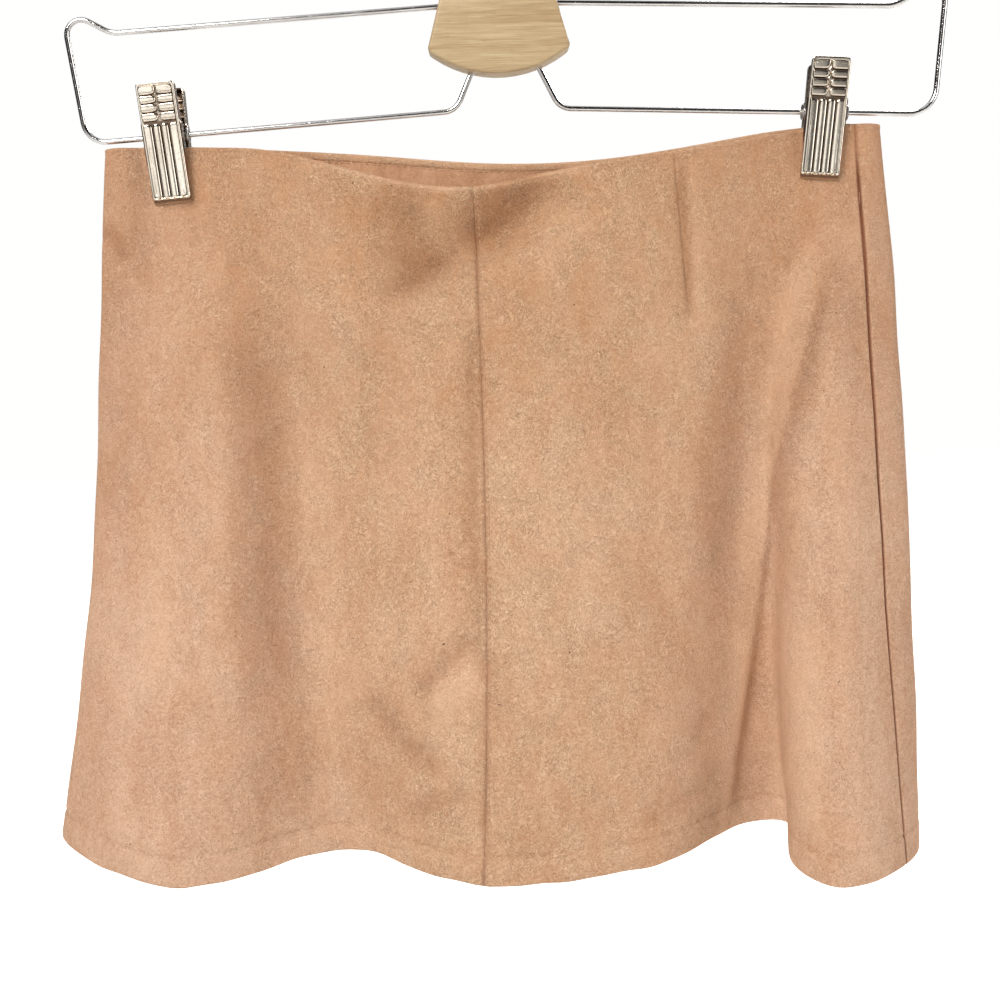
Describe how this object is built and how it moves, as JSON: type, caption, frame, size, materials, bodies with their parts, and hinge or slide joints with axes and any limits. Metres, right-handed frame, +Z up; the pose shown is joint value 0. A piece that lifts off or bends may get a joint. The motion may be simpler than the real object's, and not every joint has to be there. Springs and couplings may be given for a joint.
{
  "type": "mini skirt on a clip hanger",
  "caption": "A-line suede mini skirt with a centre front seam and a flared hem, pinched flat at the waist by the clips of a wire hanger with a wooden centre block and a hook.",
  "frame": {"origin": "inner crown of the hanger's hook, where it rests on the rail", "axes": "+Z up, front of the skirt towards -Y, +X to the right of someone who looks at the front"},
  "size_m": [0.4391, 0.1083, 0.5258],
  "materials": {
    "suede": "brushed suede nap",
    "facing": "plain reverse of the suede",
    "chrome": "polished",
    "nickel": "bright nickel",
    "oak": "pale, unvarnished"
  },
  "bodies": {
    "root": {"front_left_panel": "suede", "front_right_panel": "suede", "back_panel": "suede", "waist_facing": "facing", "hanger_block": "oak", "hanger_hook": "chrome", "hook_collar": "chrome", "wire_loop_left": "chrome", "wire_loop_right": "chrome", "clip_left_front_jaw": "nickel", "clip_left_back_jaw": "nickel", "clip_left_spring": "nickel", "clip_right_front_jaw": "nickel", "clip_right_back_jaw": "nickel", "clip_right_spring": "nickel"}
  },
  "joints": []
}
